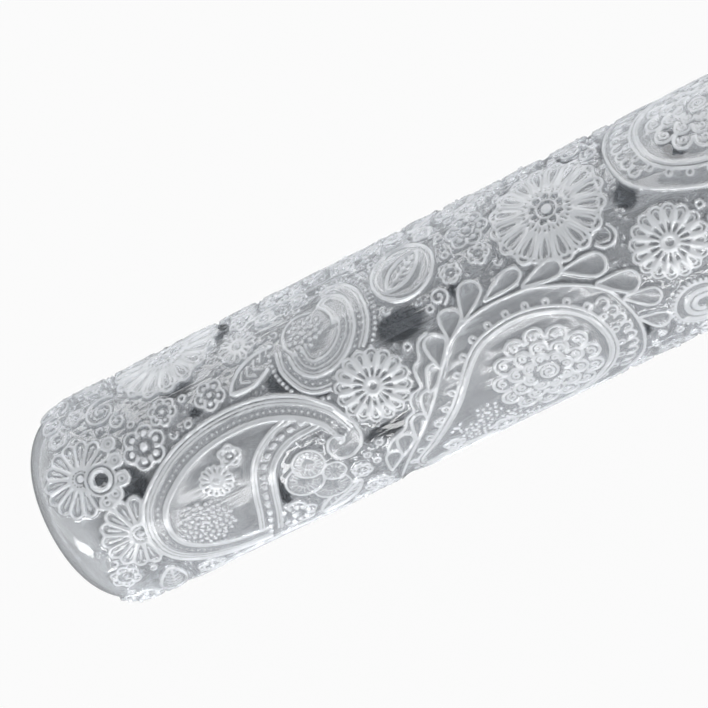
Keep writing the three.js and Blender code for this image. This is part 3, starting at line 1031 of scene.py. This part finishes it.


# clear acrylic with a dark colour: painted shade for the windows
clear = plastic((0.27, 0.29, 0.32), 0.0, 1.0)
satin = plastic((0.85, 0.88, 0.92), 0.25, 0.84)
frosted = plastic((0.94, 0.97, 1), 0.15, 0.65)
misty = plastic((0.87, 0.9, 0.94), 0.04, 0.86)
milky = plastic((0.91, 0.94, 0.97), 0.12, 0.76)
ground = mix(within(DARK_PAINTED_WINDOWS), mix(near_end, misty, milky), clear)
between_lines = mix(within(DARK_PAINTED_PLATES), mix(on_plate, ground, satin), clear)
node(shader, "ShaderNodeOutputMaterial", {}, {"Surface": mix(on_ridge, between_lines, frosted)})
print("shader nodes:", len(shader.nodes))

# %% [markdown]
# ## Joining the CAD frame
# The patterned bar takes the place of the CAD bar, and moves with the part's only body.

# %% Joining the CAD frame
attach(bar, "root")
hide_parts("roller")

# %% [markdown]
# ## Floor
# The roller lies on a plain sheet that the camera sees as white. Clear plastic shows what lies round it. The
# sheet's matt colour is painted dark, as painted shade for what the bar mirrors and shows, and a white glow
# covers it for the camera. Light that comes through the bar meets that glow only further off, so a shadow is
# painted on the sheet beneath the bar. A glow of strength 1 is exactly white, and a little of the matt sheet
# stays, which keeps the shadow.

# %% Floor
# a shadow is painted on the sheet beneath the bar, for light that comes through it, within these distances
PAINTED_SHADOW_SIDE = 0.016   # metres: the sheet is dark this far from the bar's axis
PAINTED_SHADOW_END = 0.076    # and this far from its middle
PAINTED_SHADOW_FADE = 0.03    # and turns white over this length
SEEN_GLOW = 0.96    # the glow's share for the camera
PASSED_GLOW = 0.9   # and for light that comes through the bar
bpy.ops.mesh.primitive_plane_add(size=6, location=(0, 0, 0))
floor = bpy.context.object
floor.name = "floor"
paper = bpy.data.materials.new("white_paper_painted_shadow")
page = emptied(paper)
# the matt colour is painted dark: painted shade for what the clear bar mirrors and shows
dark_painted_matt = node(page, "ShaderNodeBsdfDiffuse", {}, {"Color": (0.08, 0.08, 0.08, 1)})
glow = node(page, "ShaderNodeEmission", {}, {"Color": (1, 1, 1, 1), "Strength": 1.0})
on_page = node(page, "ShaderNodeTexCoord", {}, {}, "Object")
aside = on_page.part("Y").math("ABSOLUTE") - PAINTED_SHADOW_SIDE
beyond = on_page.part("X").math("ABSOLUTE") - PAINTED_SHADOW_END
past_painted_shadow = (aside.math("MAXIMUM", beyond) / PAINTED_SHADOW_FADE).kept_between(0.0, 1.0)
seen = node(page, "ShaderNodeLightPath", {}, {}, "Is Camera Ray")
through = node(page, "ShaderNodeLightPath", {}, {}, "Is Transmission Ray")
shown = seen * SEEN_GLOW + through * past_painted_shadow * PASSED_GLOW
node(page, "ShaderNodeOutputMaterial", {}, {"Surface": mix(shown, dark_painted_matt, glow)})
floor.data.materials.append(paper)
print("floor, in metres:", tuple(round(side, 1) for side in floor.dimensions))

# %% [markdown]
# ## Light
# A long soft lamp behind and above brightens the bar's upper side, where the frosting makes it milky. Two low
# soft lamps in front, left and right, pick out the raised lines. From behind, they would glare through the
# clear bar, so they are hidden from light that passes through it. A fourth lamp shines straight down on the
# table in front of the bar, and lights its underside by way of the table.

# %% Lamps
BAR_MIDDLE = (0, 0, 0.01)


def soft_lamp(name, place, aim, size, power):
    lamp = bpy.data.lights.new(name, "AREA")
    lamp.shape = "RECTANGLE"
    lamp.size, lamp.size_y = size
    lamp.energy = power
    holder = new_object(name, lamp)
    holder.location = place
    holder.rotation_euler = (Vector(aim) - Vector(place)).to_track_quat("-Z", "Y").to_euler()
    return holder


soft_lamp("window", (0, 0.65, 0.6), BAR_MIDDLE, (1.6, 0.5), 12)
for name, along in (("left", -0.5), ("right", 0.5)):
    side_lamp = soft_lamp(name, (along, -0.7, 0.08), BAR_MIDDLE, (1, 0.3), 10)
    side_lamp.visible_transmission = False
table_lamp = soft_lamp("table", (0, -0.22, 0.4), (0, -0.22, 0), (0.5, 0.2), 17)
table_lamp.data.spread = math.radians(20)
print("lamps, in watts:", {lamp.name: lamp.energy for lamp in bpy.data.lights})

# %% [markdown]
# ## The room
# The room is dark overhead and bright near the horizon, which gives the edges of the clear bar something to
# mirror. The camera itself sees plain white. A Mix node for colours takes its two colours at inputs 6 and 7
# and gives the result at output 2.

# %% The room
world = bpy.data.worlds.new("studio")
bpy.context.scene.world = world
sky = emptied(world)


def mixed_colour(share, first, second):
    return node(sky, "ShaderNodeMix", {"data_type": "RGBA"}, {0: share, 6: first, 7: second}, 2)


seen_directly = node(sky, "ShaderNodeLightPath", {}, {}, "Is Camera Ray")
direction = node(sky, "ShaderNodeTexCoord", {}, {}, "Generated")
near_horizon = (1 - direction.part("Z").math("ABSOLUTE")) ** 2
room = mixed_colour(near_horizon, (0.04, 0.04, 0.04, 1), (1.8, 1.8, 1.8, 1))
node(sky, "ShaderNodeOutputWorld", {}, {"Surface": node(sky, "ShaderNodeBackground", {}, {
    "Color": mixed_colour(seen_directly, room, (1, 1, 1, 1)), "Strength": 1.0})})
print("nodes of the room:", len(sky.nodes))

# %% [markdown]
# ## Camera
# The camera's place and turn were fitted to the photograph: the bar's edges, its rounded end and a dozen
# points of the pattern. Its axes are given relative to the bar's axis and to the direction in which the
# photographed side faces, because the fit was made there, and are then turned into the frame.

# %% Camera
LENS = 136.78               # millimetres, on a 36 mm sensor
CAMERA_DISTANCE = 286.16    # from the bar's axis
CAMERA_ALONG = 29.19        # foot of that distance, along the bar
view_axis = Vector((0.87305, 0.43264, 0.22495))
view_out = Vector((-0.20517, -0.09259, 0.97434))
view_up = Vector((-0.44237, 0.89680, -0.00793))
out = Vector((0, -math.cos(FRONT_TILT), math.sin(FRONT_TILT)))
over = Vector((0, math.sin(FRONT_TILT), math.cos(FRONT_TILT)))
turn = Matrix((Vector((1, 0, 0)), out, over)).transposed() @ Matrix((view_axis, view_out, view_up))
camera_data = bpy.data.cameras.new("camera")
camera_data.lens = LENS
camera_data.clip_start, camera_data.clip_end = 0.01, 10
camera = new_object("camera", camera_data)
place = Vector((CAMERA_ALONG, 0, AXIS_HEIGHT)) * MM + out * CAMERA_DISTANCE * MM
camera.matrix_world = Matrix.Translation(place) @ turn.to_4x4()
bpy.context.scene.camera = camera
bpy.context.scene.view_settings.view_transform = "Standard"
print("camera, in millimetres:", [round(side / MM) for side in place])
